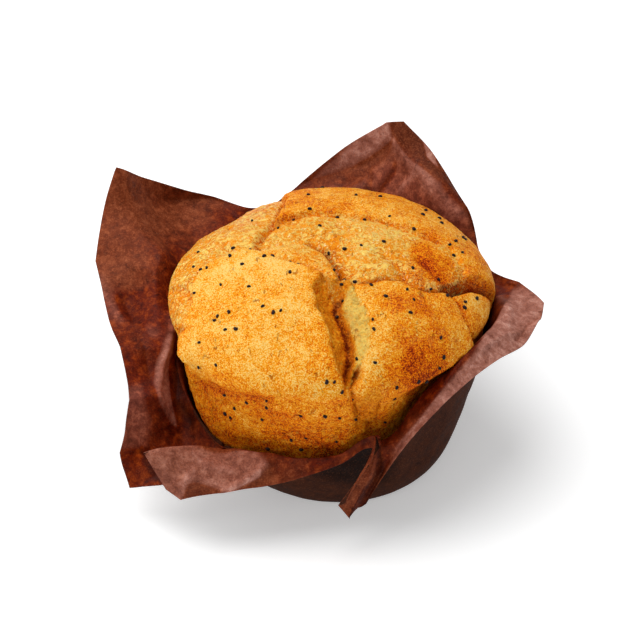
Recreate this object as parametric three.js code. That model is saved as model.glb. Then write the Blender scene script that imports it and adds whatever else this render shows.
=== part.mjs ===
// A muffin baked in a square sheet of greaseproof paper that was pressed into a cup.
// Millimetres, +Z up, +X to the right, +Y away from the front.
// The origin is the centre of the flat underside of the baking case.
import * as THREE from "three";
import { mergeVertices } from "three/addons/utils/BufferGeometryUtils.js";

// ---- driving dimensions ----
const BASE_RADIUS = 23.5; // flat foot of the case
const SHEET_THICKNESS = 0.5;
const CAKE_GAP = 1.15; // least air kept between the paper's inner face and the cake
const CROWN_HEIGHT = 57.2; // top of the crown
const LEAN_X = -2.2; // how far the crown leans to the left
const LEAN_Y = 1.3; // and to the back
const CAKE_LEAN_HEIGHTS = [15, 44]; // the cake takes up its lean between these heights
const CASE_LEAN_HEIGHTS = [22, 44]; // and the case's wall between these
// The cup and the cake swell where the soft dough leaned on the paper.
const BULGE = 4.4;
const BULGE_BEARING = 208; // degrees
const BULGE_SPREAD = 38; // degrees
const BULGE_RISE = [0, 9]; // heights
const BULGE_FALL = [20, 40];
// Places where the cake stands in from the paper: bearing and spread in degrees, and the
// heights it fades over.
const DENTS = [
  { depth: 4.6, bearing: 316, spread: 24, rise: [12, 28], fall: [38, 44] },
  { depth: 1.6, bearing: 175, spread: 16, rise: [18, 26], fall: [34, 42] },
  { depth: -1.4, bearing: 222, spread: 20, rise: [6, 12], fall: [22, 34] },
];
const PAPER_FOLLOWS = 0.9; // share of a dent that the paper follows
const CLEAR_HEIGHTS = [4, 50]; // the paper is kept clear of the cake between these
const SLOPE_STEP = 1.5; // way over the outline used to find its slope
const CRACK_FLOOR = 7; // depth of the deepest crack below the crown
const CAKE_DETAIL = 23; // icosahedron subdivisions of the cake's surface
const AROUND_STEPS = 2; // paper facets between two neighbouring ribs
const ALONG_STEPS = 3; // paper facets between two neighbouring points of a rib
const CAKE_SIDE = [5, 14]; // the stretch of the cake's outline that stands beside the paper
const DEGREE = Math.PI / 180;

// Outline of the cake from the centre of its top to the centre of its bottom: radius, height.
const CAKE_OUTLINE = [
  [0, CROWN_HEIGHT],
  [10, 56.9],
  [20, 55.6],
  [28, 53.2],
  [34, 50],
  [37.6, 46.5],
  [39, 43],
  [38.4, 39.5],
  [36.6, 34.5],
  [33.3, 26],
  [30.3, 17],
  [27.5, 8.6],
  [25.6, 4],
  [23.6, 1.7],
  [21, 1],
  [0, 1],
];

// Outline of the pressed cup, shared by every rib: radius, height.
const CUP_OUTLINE = [
  [BASE_RADIUS / 2, 0],
  [BASE_RADIUS, 0],
  [25.6, 0.7],
  [27.3, 3],
  [29.3, 8.5],
];
// The cup's wall above that: height against radius.
const WALL = [
  [8.5, 29.3],
  [17, 32],
  [25, 34.5],
  [38, 39.6],
  [45, 41],
];

// The plates the crown has split into. Each outline is in millimetres measured over the
// surface from the middle of the crown, so points past 43 lie on the side of the cake.
// lift: how far the plate stands up; drop: how far its rim falls; soft: width of that fall.
const PLATES = [
  // front left
  {
    lift: 1.2,
    drop: 0.5,
    soft: 0.9,
    outline: [
      [-2, -11], [-4, -9], [-8, -7], [-12, -5], [-14, -3], [-17, -1], [-20, 0], [-24, -1],
      [-28, -2], [-31, -4], [-33, -9], [-33, -14], [-37, -19], [-44, -24], [-62, -34],
      [-40, -62], [9, -64], [8, -52], [5.5, -45], [4, -42], [2, -38], [1, -35], [0, -32],
      [0, -28], [-1, -25], [-3, -22], [-3, -19], [-4, -16], [-3, -14],
    ],
  },
  // back crust
  {
    lift: 0.5,
    drop: 0.6,
    soft: 1.2,
    outline: [
      [-12, 17], [-13, 12], [-9, 14.5], [-4, 15.5], [3, 14.8], [9, 13.5], [15, 11.5],
      [21, 8.5], [26, 7], [30, 5], [32, 1], [34, -3], [38, -3], [44, -1], [66, -2], [62, 62],
      [-20, 66], [-12, 38], [-11, 27],
    ],
  },
  // back slope
  {
    lift: -0.6,
    drop: 2.2,
    soft: 4.5,
    outline: [
      [3, -12.3], [2.3, -9], [1, -5.5], [-1, -1.5], [-5, 1.6], [-13, 1.6], [-16.5, 1],
      [-17, 4], [-16, 8], [-14, 12], [-11, 27], [-12, 38], [-20, 66], [62, 62], [66, -2],
      [44, -1], [37, -3.5], [33, -6], [30, -9], [27, -11], [23, -12.5], [20, -12.5],
      [17, -10.5], [12, -11], [9, -12.5],
    ],
  },
  // front right
  {
    lift: 0.7,
    drop: 0.6,
    soft: 1.1,
    outline: [
      [4, -14], [9, -13.3], [12, -11.8], [17, -11.2], [20, -13.2], [23, -13.2], [26, -12.2],
      [30, -13.3], [32, -17], [36, -21], [44, -26], [60, -38], [34, -64], [10, -64], [9, -52],
      [6.5, -45], [7, -42], [8, -39], [8, -36], [8.5, -32], [9, -28], [8.5, -24], [7.5, -20],
      [5, -18.5],
    ],
  },
  // left
  {
    lift: -1.1,
    drop: 0.8,
    soft: 2,
    outline: [
      [-12, 38], [-11, 27], [-12, 20], [-14, 12], [-16, 8], [-17, 4], [-17, 0], [-20, 0.5],
      [-24, -0.5], [-28, -1.5], [-31.5, -3.5], [-33.5, -9], [-33.5, -14], [-37, -19],
      [-44, -24], [-66, -34], [-70, 40], [-20, 66],
    ],
  },
  // middle
  {
    lift: 0.2,
    drop: 1,
    soft: 1.6,
    outline: [
      [-17, 0], [-13, 1], [-5, 1], [-1, -2], [1, -6], [2.5, -10], [3, -12.5], [1, -13],
      [-2, -11], [-4, -9], [-8, -7], [-12, -5], [-14, -3], [-17, -1],
    ],
  },
  // right
  {
    lift: -0.8,
    drop: 1,
    soft: 1.6,
    outline: [
      [28, -10], [31, -8.5], [34, -6], [38, -4], [44, -2], [66, -3], [64, -42], [44, -27],
      [36, -21.5], [32.5, -17], [30.5, -13],
    ],
  },
];
// Sharp cracks between the plates: half width, depth and the line each one follows.
const CRACKS = [
  {
    width: 1.7,
    depth: 2.6,
    line: [
      [-5, 1.8], [-1, -1.2], [1.2, -5.5], [2.6, -9], [3.4, -12.6],
    ],
  },
  {
    width: 1.7,
    depth: 3.6,
    line: [
      [3.4, -12.6], [9, -12.9], [12, -11.4], [17, -10.9], [20, -12.8], [23, -12.9],
      [27, -11.6], [31, -9],
    ],
  },
  {
    width: 2.4,
    depth: 4.8,
    line: [
      [29, -9.5], [31, -8.5], [34, -6], [38, -3.8], [46, -1.5],
    ],
  },
  {
    width: 1.6,
    depth: 3,
    line: [
      [29, -12.5], [31.5, -14.5], [33, -18], [36, -21], [44, -26],
    ],
  },
  {
    width: 1.2,
    depth: 1.3,
    line: [
      [-17, 0], [-17.3, 4], [-16, 8], [-14, 12], [-12, 19], [-11, 28],
    ],
  },
  {
    width: 1.1,
    depth: 1.4,
    line: [
      [-17, -1], [-20, 0], [-24, -1], [-28, -2], [-31, -4], [-33, -9], [-33, -14], [-37, -19],
    ],
  },
  {
    width: 1,
    depth: 1.1,
    line: [
      [-3, -10], [-8, -7], [-12, -5], [-14, -3], [-17, -1],
    ],
  },
  {
    width: 1.3,
    depth: 3.4,
    line: [
      [1.8, -24], [2.8, -28], [3.8, -32], [4.8, -36], [4.8, -39], [4.4, -42],
    ],
  },
  {
    width: 0.8,
    depth: 0.8,
    line: [
      [5.2, -43], [7, -49], [9, -53], [15, -57],
    ],
  },
];
// Soft creases of the crust.
const CREASES = [
  {
    width: 1.5,
    depth: 1.2,
    line: [
      [-44, -32], [-36, -36], [-28, -40], [-18, -43], [-8, -45], [0, -46], [6, -45],
    ],
  },
  {
    width: 0.8,
    depth: 0.5,
    line: [
      [-40, -40], [-30, -44], [-20, -48], [-10, -50],
    ],
  },
  {
    width: 1.8,
    depth: 0.8,
    line: [
      [1, -1], [3.5, -4], [5, -8], [6, -12],
    ],
  },
  {
    width: 1.2,
    depth: 0.7,
    line: [
      [12, -1], [15, -4], [18, -9],
    ],
  },
  {
    width: 1,
    depth: 0.7,
    line: [
      [21, -2], [24, -5], [29, -8],
    ],
  },
  {
    width: 0.9,
    depth: 0.8,
    line: [
      [-42, -2], [-37, -5], [-34, -10],
    ],
  },
  {
    width: 1,
    depth: 0.8,
    line: [
      [-44, -15], [-39, -18], [-35, -20],
    ],
  },
  {
    width: 1,
    depth: 0.5,
    line: [
      [-24, 2], [-26, 9], [-25, 16],
    ],
  },
  {
    width: 0.6,
    depth: 0.6,
    line: [
      [15, -41], [15, -48], [17, -56],
    ],
  },
];
// Swellings and hollows: x, y, radius, height.
const SWELLS = [
  [-15, -20, 13, 0.7], [18, -23, 8, 0.7], [-38, -11, 5, 0.9], [-37.5, -26, 1.2, 0.8],
  [-6, 8, 5, 0.5], [8, 1, 5, 0.6], [12, -8, 4, 0.7], [24, 0, 5, 0.4], [-24, 10, 7, 0.5],
  [0, 32, 18, -1.2], [-28, 27, 14, -2.2], [30, 25, 14, -0.6], [10, -50, 4, -0.5],
];
// The tear between the two front plates: its rim, its deepest line and its depth.
const TEAR_RIM = [
  [1.3, -11.3], [-1.7, -10.5], [-2.4, -13], [-3.8, -17], [-3.6, -20], [-2.6, -22.5],
  [-1.6, -25.5], [-0.4, -28.5], [0.6, -31], [0.8, -34.5], [2, -38], [3.4, -41.5], [4.6, -43],
  [6, -40.5], [6.9, -37], [7.4, -34.5], [8.6, -32.5], [8.8, -29.5], [7.8, -25.5], [6.8, -21.5],
  [5.6, -19.5], [5.4, -15], [5.2, -11.8], [3.6, -11],
];
const TEAR_BOTTOM = [
  [2.4, -16.5], [1.8, -19.5], [2.6, -22.5], [3.7, -25.5], [4.8, -29], [5.2, -32], [5, -35.5],
  [4.4, -39], [4.2, -41],
];
const TEAR_DEPTH = 5.0;
const TEAR_START = -0.5; // relief that the tear goes down from
const TEAR_SHAPE = 1.1; // above 1 the walls of the tear are steepest at its deepest line
const TEAR_LIP = 2.2; // width over which the narrow ends of the tear run out
const TEAR_EDGE = 2.0; // width over which the rim turns down into the tear
const TEAR_LEAST = 0.01; // keeps the shares of the distances defined
const CRACK_SHARPNESS = 1.4;
const CRACK_EASE = 1.1; // the cracks are this much wider each side, so that the mesh can follow them
const OUTSIDE_SLOPE = 2; // how steeply a plate's edge falls into a crack
const CRACK_FADE_START = 45; // distance over the surface where cracks begin to close
const CRACK_FADE_END = 58;

// Radial ribs of the paper, anticlockwise from the right. Each one is
// [bearing in degrees, height where the wall stops being a cup, height of the next wall point,
//  then three points x, y, z that lead out to the edge of the sheet].
const RIBS = [
  [4, 25, 38, [41, 4, 39.5], [45, 4, 39], [49, 3, 39]],
  [14, 25, 36, [42, 10, 38], [42.5, 10, 39], [43.5, 10, 39.5]],
  [22, 25, 35, [38.5, 14, 35.5], [39.5, 15, 36], [40, 15.5, 37]],
  [28, 25, 34, [36.5, 18.5, 34.5], [36.5, 19.5, 35], [37, 20, 36]],
  [34, 25, 34, [33.5, 22.5, 36], [34, 23.5, 37.5], [34.5, 24.5, 38.5]],
  [44, 25, 37, [32.5, 29, 40.5], [33, 31, 42], [32, 33, 45]],
  [58, 25, 38, [25.5, 37, 48], [25, 41, 50], [23.5, 45, 53]],
  [69, 25, 38, [17.5, 44, 47], [17, 47, 52.5], [16.5, 50, 59]],
  [78, 25, 38, [12, 45, 47], [12.5, 49, 51.5], [12.5, 52, 57.5]],
  [91, 25, 38, [4, 46, 43.5], [3.5, 49, 46.5], [2, 51, 50.5]],
  [102, 25, 38, [-11, 44, 39], [-11.5, 45, 39.5], [-12.5, 46, 40]],
  [109, 25, 38, [-17, 42, 38], [-17, 43, 37.5], [-16.5, 43.5, 38]],
  [118, 25, 36, [-24, 38, 39.5], [-23.5, 39, 39.5], [-22.5, 40, 40]],
  [130, 25, 38, [-29, 40, 40], [-31, 42, 41], [-31, 42, 42]],
  [142, 25, 36, [-38, 35, 40], [-41, 40, 42], [-41, 40, 46.5]],
  [152, 25, 36, [-42.5, 24, 41], [-48.5, 28.5, 48], [-54, 33.5, 56.5]],
  [159, 25, 36, [-42, 17, 43.5], [-49, 22, 45.5], [-57, 26, 48.5]],
  [166, 25, 34, [-43.5, 11, 42], [-51, 15, 41], [-58.5, 17, 40.5]],
  [173, 24, 32, [-43.5, 6, 38], [-50, 8, 37], [-56.5, 9, 37.5]],
  [180, 24, 30, [-42.5, 0, 35], [-47.5, 0, 35], [-54.5, 1, 34.5]],
  [188, 22, 28, [-41, -6, 31.5], [-45.5, -8, 33.5], [-51.5, -8, 34]],
  [194, 21, 26, [-39, -9, 26.5], [-44, -12, 29.5], [-49.5, -15, 29.5]],
  [200, 20, 23.5, [-38, -14, 23.5], [-43, -17, 26], [-49, -19, 27]],
  [206, 19, 21, [-37.5, -17, 18], [-44, -21, 20.5], [-50, -24, 22]],
  [212, 17, 19, [-36, -21, 14.5], [-44, -25, 16.5], [-51, -28, 17.5]],
  [218, 16, 17.5, [-31.5, -25, 14], [-40, -29, 13.5], [-49, -31, 10]],
  [222, 16, 17.5, [-28.5, -28, 17.5], [-34.5, -30, 15.5], [-40.5, -32, 12]],
  [226, 16, 18, [-26.5, -27, 16], [-31.5, -28, 14], [-37, -29, 11]],
  [230, 16, 19, [-27, -31, 23], [-35.5, -34, 25.5], [-45, -36, 25.5]],
  [234, 16, 19.5, [-25.5, -32, 23.5], [-33, -35.5, 22], [-40, -38, 16]],
  [240, 17, 20, [-23.5, -33, 24], [-29.5, -37, 20.5], [-36.5, -39, 14]],
  [250, 17, 20, [-17.5, -34, 23.5], [-19.5, -38, 21], [-23, -40, 17.5]],
  [256, 17, 20, [-13, -34.5, 23], [-15.5, -37.5, 20.5], [-17.5, -40, 18.5]],
  [262, 17, 20, [-8.5, -35, 23], [-9, -37, 21.5], [-10, -39, 20]],
  [272, 17, 21, [-0.5, -35, 24], [0, -36.5, 24], [0, -37.5, 23]],
  [279, 17, 23, [5, -36, 29], [5.5, -37, 28.5], [5.5, -38, 28]],
  [282, 17.5, 24, [7.5, -36.5, 31], [8.6, -37.6, 30.8], [9.2, -38.8, 29.2]],
  [284, 18, 25, [9, -37, 32], [5.5, -41.5, 25], [-0.5, -44.5, 16.5]],
  [287, 19, 26, [10, -37.5, 30.5], [7, -42, 23], [2.5, -45.5, 13]],
  [290, 20, 26, [10.5, -37, 28], [9.5, -39.5, 22], [5, -43.5, 15]],
  [295, 22, 28, [13, -35.5, 28.5], [13.5, -37, 27.5], [12.5, -39, 25.5]],
  [301, 24, 33, [17, -33.5, 33], [18.5, -34.5, 33], [19.5, -35.5, 33.5]],
  [311, 25, 37, [22.5, -30, 39], [23.5, -31, 38.5], [25, -32, 38]],
  [322, 25, 39, [27.5, -25, 43.5], [29.5, -26, 42], [31, -27, 40.5]],
  [334, 25, 39, [32, -18, 43.5], [34.5, -19, 41.5], [37, -20, 40]],
  [345, 25, 39, [36, -10, 42], [39.5, -11, 40.5], [43.5, -12, 38]],
  [354, 25, 39, [38.5, -3, 41], [42.5, -4, 40], [47.5, -5, 40.5]],
];
// Bearings of the ribs where the sheet turns a sharp corner.
const SHARP_RIBS = [
  4, 14, 69, 78, 102, 152, 166, 188, 200, 218, 222, 226, 230, 234, 240, 282, 284, 287,
  290, 354,
];
const AROUND_TENSION = 0.42; // how round the sheet runs from rib to rib
const RIB_TENSION = 0.32; // how round it runs along a rib

// ---- small maths ----
const clamp01 = (t) => Math.min(1, Math.max(0, t));
const smoothStep = (a, b, x) => {
  const t = clamp01((x - a) / (b - a));
  return t * t * (3 - 2 * t);
};

// y at x on a polyline of [x, y] pairs in rising x.
function along(pairs, x) {
  let i = 1;
  while (i < pairs.length - 1 && pairs[i][0] < x) i += 1;
  const [xa, ya] = pairs[i - 1];
  const [xb, yb] = pairs[i];
  return ya + (yb - ya) * clamp01((x - xa) / (xb - xa));
}

// A point on the smooth curve from b to c, with a and d as the neighbours either side.
// sharpStart and sharpEnd say whether the curve turns a corner at b and at c.
function curvePoint(a, b, c, d, t, tension, sharpStart = false, sharpEnd = false) {
  const chord = c.clone().sub(b);
  const startSlope = sharpStart ? chord : c.clone().sub(a).multiplyScalar(tension);
  const endSlope = sharpEnd ? chord : d.clone().sub(b).multiplyScalar(tension);
  const t2 = t * t;
  const t3 = t2 * t;
  return b
    .clone()
    .multiplyScalar(2 * t3 - 3 * t2 + 1)
    .addScaledVector(startSlope, t3 - 2 * t2 + t)
    .addScaledVector(c, 3 * t2 - 2 * t3)
    .addScaledVector(endSlope, t3 - t2);
}

// Distance from (x, y) to a closed outline, negative inside it.
function distanceToOutline(outline, x, y) {
  let nearest = Infinity;
  let inside = false;
  outline.forEach(([ax, ay], i) => {
    const [bx, by] = outline[(i + 1) % outline.length];
    const ex = bx - ax;
    const ey = by - ay;
    const t = clamp01(((x - ax) * ex + (y - ay) * ey) / (ex * ex + ey * ey));
    nearest = Math.min(nearest, Math.hypot(x - ax - t * ex, y - ay - t * ey));
    if (ay > y !== by > y && x < ax + (ex * (y - ay)) / ey) inside = !inside;
  });
  return inside ? -nearest : nearest;
}

// Distance from (x, y) to an open line of points.
function distanceToLine(line, x, y) {
  let nearest = Infinity;
  for (let i = 1; i < line.length; i += 1) {
    const [ax, ay] = line[i - 1];
    const ex = line[i][0] - ax;
    const ey = line[i][1] - ay;
    const t = clamp01(((x - ax) * ex + (y - ay) * ey) / (ex * ex + ey * ey));
    nearest = Math.min(nearest, Math.hypot(x - ax - t * ex, y - ay - t * ey));
  }
  return nearest;
}

// A soft bump round a bearing, 1 in its middle.
function roundBearing(bearingDegrees, middle, spread) {
  const off = THREE.MathUtils.euclideanModulo(bearingDegrees - middle + 180, 360) - 180;
  return Math.exp(-((off / spread) ** 2));
}

// Rises to 1 over the first pair of heights and falls to 0 over the second.
const between = (rise, fall, height) =>
  smoothStep(...rise, height) * (1 - smoothStep(...fall, height));

// How far the side stands out beyond its round outline.
const sideBulge = (bearingDegrees, height) =>
  BULGE *
  roundBearing(bearingDegrees, BULGE_BEARING, BULGE_SPREAD) *
  between(BULGE_RISE, BULGE_FALL, height);

// How far the cake's side stands in from the paper.
function sideDents(bearingDegrees, height) {
  let total = 0;
  for (const { depth, bearing, spread, rise, fall } of DENTS) {
    total += depth * roundBearing(bearingDegrees, bearing, spread) * between(rise, fall, height);
  }
  return total;
}

// ---- the cake ----
// Distance travelled over the outline at each of its points.
const travelled = [0];
for (let i = 1; i < CAKE_OUTLINE.length; i += 1) {
  const [ra, za] = CAKE_OUTLINE[i - 1];
  const [rb, zb] = CAKE_OUTLINE[i];
  travelled.push(travelled[i - 1] + Math.hypot(rb - ra, zb - za));
}
const CAKE_TRAVEL = travelled[travelled.length - 1];
const radiusByTravel = CAKE_OUTLINE.map(([r], i) => [travelled[i], r]);
const heightByTravel = CAKE_OUTLINE.map(([, z], i) => [travelled[i], z]);
// Share of the polar angle given to each stretch of the outline, so the crown is finest.
const POLAR_TO_TRAVEL = [
  [0, 0],
  [0.55, 46],
  [0.84, CAKE_TRAVEL - 22],
  [1, CAKE_TRAVEL],
];

// How far the crown's plates and cracks move the surface in or out.
function crownRelief(travel, bearing) {
  const x = travel * Math.cos(bearing);
  const y = travel * Math.sin(bearing);
  let relief = -CRACK_FLOOR;
  for (const plate of PLATES) {
    const edge = distanceToOutline(plate.outline, x, y);
    const fall =
      edge < 0
        ? plate.drop * Math.exp(edge / plate.soft)
        : plate.drop + OUTSIDE_SLOPE * edge;
    relief = Math.max(relief, plate.lift - fall);
  }
  relief *= 1 - smoothStep(CRACK_FADE_START, CRACK_FADE_END, travel);
  for (const [sx, sy, radius, height] of SWELLS) {
    relief += height * Math.exp(-((x - sx) ** 2 + (y - sy) ** 2) / radius ** 2);
  }
  for (const { width, depth, line } of CRACKS) {
    relief -= depth * clamp01(1 - distanceToLine(line, x, y) / (width + CRACK_EASE)) ** CRACK_SHARPNESS;
  }
  for (const { width, depth, line } of CREASES) {
    relief -= depth * Math.exp(-((distanceToLine(line, x, y) / width) ** 2));
  }
  const fromRim = Math.max(0, -distanceToOutline(TEAR_RIM, x, y));
  const fromBottom = distanceToLine(TEAR_BOTTOM, x, y);
  const down = (fromRim / (fromRim + fromBottom + TEAR_LEAST)) ** TEAR_SHAPE;
  const start = relief + (Math.max(relief, TEAR_START) - relief) * smoothStep(0, TEAR_EDGE, fromRim);
  return start - TEAR_DEPTH * down * smoothStep(0, TEAR_LIP, fromRim + fromBottom);
}

function cakeGeometry() {
  const ball = new THREE.IcosahedronGeometry(1, CAKE_DETAIL);
  ball.deleteAttribute("normal");
  ball.deleteAttribute("uv");
  const geometry = mergeVertices(ball, 1e-4);
  const spots = geometry.getAttribute("position");
  for (let i = 0; i < spots.count; i += 1) {
    const spot = new THREE.Vector3().fromBufferAttribute(spots, i);
    const polar = Math.acos(THREE.MathUtils.clamp(spot.z, -1, 1)) / Math.PI;
    const bearing = Math.atan2(spot.y, spot.x);
    const travel = along(POLAR_TO_TRAVEL, polar);
    const radius = along(radiusByTravel, travel);
    const height = along(heightByTravel, travel);
    const before = travel - SLOPE_STEP;
    const after = travel + SLOPE_STEP;
    const slopeR = along(radiusByTravel, after) - along(radiusByTravel, before);
    const slopeZ = along(heightByTravel, after) - along(heightByTravel, before);
    const slope = Math.hypot(slopeR, slopeZ);
    const relief = crownRelief(travel, bearing);
    const outward =
      radius -
      (relief * slopeZ) / slope +
      sideBulge(bearing / DEGREE, height) -
      sideDents(bearing / DEGREE, height);
    const lean = smoothStep(...CAKE_LEAN_HEIGHTS, height);
    spots.setXYZ(
      i,
      outward * Math.cos(bearing) + LEAN_X * lean,
      outward * Math.sin(bearing) + LEAN_Y * lean,
      height + (relief * slopeR) / slope,
    );
  }
  geometry.computeVertexNormals();
  return geometry;
}

// ---- the paper ----
// Pushes a point of the paper out until it clears the cake at its height.
const cakeRadiusByHeight = CAKE_OUTLINE.slice(...CAKE_SIDE)
  .map(([r, z]) => [z, r])
  .reverse();
function clearOfCake(point) {
  if (point.z < CLEAR_HEIGHTS[0] || point.z > CLEAR_HEIGHTS[1]) return point;
  const lean = smoothStep(...CAKE_LEAN_HEIGHTS, point.z);
  const x = point.x - LEAN_X * lean;
  const y = point.y - LEAN_Y * lean;
  const reach = Math.hypot(x, y);
  const bearing = Math.atan2(y, x) / DEGREE;
  const cake =
    along(cakeRadiusByHeight, point.z) + sideBulge(bearing, point.z) - sideDents(bearing, point.z);
  const least = cake + SHEET_THICKNESS + CAKE_GAP;
  if (reach < least) {
    point.x += x * (least / reach - 1);
    point.y += y * (least / reach - 1);
  }
  return point;
}

// A point of the pressed cup, with its bulge, its dents and its lean.
function cupPoint(degrees, radius, height) {
  const reach =
    radius + sideBulge(degrees, height) - PAPER_FOLLOWS * Math.max(sideDents(degrees, height), 0);
  const lean = smoothStep(...CASE_LEAN_HEIGHTS, height);
  return new THREE.Vector3(
    reach * Math.cos(degrees * DEGREE) + LEAN_X * lean,
    reach * Math.sin(degrees * DEGREE) + LEAN_Y * lean,
    height,
  );
}

function ribPoints([bearing, wallHeight, nextHeight, ...outer]) {
  const cup = CUP_OUTLINE.map(([r, z]) => cupPoint(bearing, r, z));
  const wall = [wallHeight, nextHeight].map((z) => cupPoint(bearing, along(WALL, z), z));
  return [...cup, ...wall, ...outer.map((p) => new THREE.Vector3(...p))];
}

// Rings of paper points, from the foot to the edge of the sheet.
function paperRings() {
  const ribs = RIBS.map(ribPoints);
  const ribAt = (i) => ribs[(i + ribs.length) % ribs.length];
  const isSharp = (i) => SHARP_RIBS.includes(RIBS[i % ribs.length][0]);
  const count = ribs[0].length;
  const lines = [];
  for (let k = 0; k < count; k += 1) {
    const line = [];
    for (let i = 0; i < ribs.length; i += 1) {
      for (let s = 0; s < AROUND_STEPS; s += 1) {
        const four = [ribAt(i - 1)[k], ribAt(i)[k], ribAt(i + 1)[k], ribAt(i + 2)[k]];
        const share = s / AROUND_STEPS;
        line.push(curvePoint(...four, share, AROUND_TENSION, isSharp(i), isSharp(i + 1)));
      }
    }
    lines.push(line);
  }
  const firstCurved = CUP_OUTLINE.length - 1;
  const rings = lines.slice(0, firstCurved);
  for (let k = firstCurved; k < count; k += 1) {
    const steps = k < count - 1 ? ALONG_STEPS : 1;
    for (let s = 0; s < steps; s += 1) {
      const ring = lines[k].map((point, j) => {
        const before = lines[k - 1][j];
        const next = lines[Math.min(k + 1, count - 1)][j];
        const after = lines[Math.min(k + 2, count - 1)][j];
        return clearOfCake(curvePoint(before, point, next, after, s / steps, RIB_TENSION));
      });
      rings.push(ring);
    }
  }
  return rings;
}

// One closed shell: the outer face through the rings, the inner face a sheet thickness inside.
function paperGeometry() {
  const rings = paperRings();
  const around = rings[0].length;
  const points = [new THREE.Vector3(0, 0, 0), ...rings.flat()];
  const indexOf = (ring, j) => 1 + ring * around + (j % around);
  const faces = [];
  for (let j = 0; j < around; j += 1) faces.push([0, indexOf(0, j + 1), indexOf(0, j)]);
  for (let k = 0; k < rings.length - 1; k += 1) {
    for (let j = 0; j < around; j += 1) {
      const a = indexOf(k, j);
      const b = indexOf(k, j + 1);
      const c = indexOf(k + 1, j + 1);
      const d = indexOf(k + 1, j);
      faces.push([a, b, c], [a, c, d]);
    }
  }
  const outward = points.map(() => new THREE.Vector3());
  for (const [a, b, c] of faces) {
    const normal = points[b].clone().sub(points[a]).cross(points[c].clone().sub(points[a]));
    outward[a].add(normal);
    outward[b].add(normal);
    outward[c].add(normal);
  }
  const inner = points.map((point, i) =>
    point.clone().addScaledVector(outward[i].normalize(), -SHEET_THICKNESS),
  );
  const total = points.length;
  const indices = faces.flat();
  for (const [a, b, c] of faces) indices.push(total + a, total + c, total + b);
  const last = rings.length - 1;
  for (let j = 0; j < around; j += 1) {
    const a = indexOf(last, j);
    const b = indexOf(last, j + 1);
    indices.push(a, b, total + b, a, total + b, total + a);
  }
  const geometry = new THREE.BufferGeometry();
  geometry.setFromPoints([...points, ...inner]);
  geometry.setIndex(indices);
  geometry.computeVertexNormals();
  return geometry;
}

// ---- the object ----
function piece(name, geometry, color, roughness) {
  const material = new THREE.MeshStandardMaterial({ color, roughness, metalness: 0 });
  const mesh = new THREE.Mesh(geometry, material);
  mesh.name = name;
  return mesh;
}

const muffinInCase = new THREE.Group();
muffinInCase.name = "muffin_in_case";
muffinInCase.add(piece("muffin", cakeGeometry(), 0xe0a048, 0.75));
muffinInCase.add(piece("baking_case", paperGeometry(), 0x6e3220, 0.65));

export default muffinInCase;
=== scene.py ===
"""A poppy-seed muffin in a sheet of brown greaseproof paper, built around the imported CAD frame.

The cake, the paper and the seeds are fine meshes that stand for the two CAD solids.
Lengths in the tables are millimetres and become metres when a mesh is made.
"""
import math
import random

import bpy
import numpy as np
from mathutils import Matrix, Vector, noise


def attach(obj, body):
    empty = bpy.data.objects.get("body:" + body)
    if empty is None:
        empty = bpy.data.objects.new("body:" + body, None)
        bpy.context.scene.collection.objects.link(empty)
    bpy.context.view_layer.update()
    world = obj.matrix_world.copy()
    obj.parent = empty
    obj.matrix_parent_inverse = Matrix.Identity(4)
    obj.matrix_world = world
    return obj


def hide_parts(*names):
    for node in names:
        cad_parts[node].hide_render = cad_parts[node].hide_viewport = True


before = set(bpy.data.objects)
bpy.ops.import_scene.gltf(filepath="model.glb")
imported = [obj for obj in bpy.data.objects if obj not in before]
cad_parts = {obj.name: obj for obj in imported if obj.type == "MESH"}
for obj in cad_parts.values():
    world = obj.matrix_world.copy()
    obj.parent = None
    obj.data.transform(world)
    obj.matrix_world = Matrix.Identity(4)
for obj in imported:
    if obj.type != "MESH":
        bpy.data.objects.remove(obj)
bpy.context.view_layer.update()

MM = 0.001
draw = random.Random(7)
scene = bpy.context.scene

# ---------------- dimensions
CROWN_TOP = 57.2
BASE_RADIUS = 23.5
SHEET = 0.16  # thickness of the real paper
CAKE_GAP = 0.75  # least air between the paper and the cake
LEAN = np.array([-2.2, 1.3])  # how far the crown leans off the foot's middle
BULGE = 4.4  # the cup and the cake swell this much where the dough leaned on the paper
BULGE_BEARING = 208
BULGE_SPREAD = 38
BULGE_RISE, BULGE_FALL = (0, 9), (20, 40)  # heights over which it comes and goes
# Where the cake's side stands in from its round outline, or out where the depth is negative:
# depth, bearing, spread, and the heights over which it comes and goes.
DENTS = [
    (4.6, 316, 24, (12, 28), (38, 44)), (1.6, 175, 16, (18, 26), (34, 42)),
    (-1.4, 222, 20, (6, 12), (22, 34)),
]
PAPER_FOLLOWS = 0.9  # share of a dent that the paper stands in too
CRACK_FLOOR = 7.0  # depth of the deepest gap between plates
CAKE_SPLITS = 94  # each face of the cake's icosahedron is split this many times
AROUND_STEPS = 10  # paper points from rib to rib
CUP_STEPS = 4  # and along a rib, between the points of the foot and the cup
WALL_STEPS = 14  # and between those of the wall and the petals
NOISE_SHIFT = 17.3  # each seed of the noise looks at its pattern this much further on
CAKE_OUTLINE = [
    (0, CROWN_TOP), (10, 56.9), (20, 55.6), (28, 53.2), (34, 50), (37.6, 46.5), (39, 43),
    (38.4, 39.5), (36.6, 34.5), (33.3, 26), (30.3, 17), (27.5, 8.6), (25.6, 4),
    (23.6, 1.7), (21, 1), (0, 1),
]
CUP_OUTLINE = [(BASE_RADIUS / 2, 0), (BASE_RADIUS, 0), (25.6, 0.7), (27.3, 3.0), (29.3, 8.5)]
WALL_HEIGHTS = [8.5, 17, 25, 38, 45]
WALL_RADII = [29.3, 32.0, 34.5, 39.6, 41]
CUP_RINGS = CUP_STEPS * (len(CUP_OUTLINE) - 1)
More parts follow.
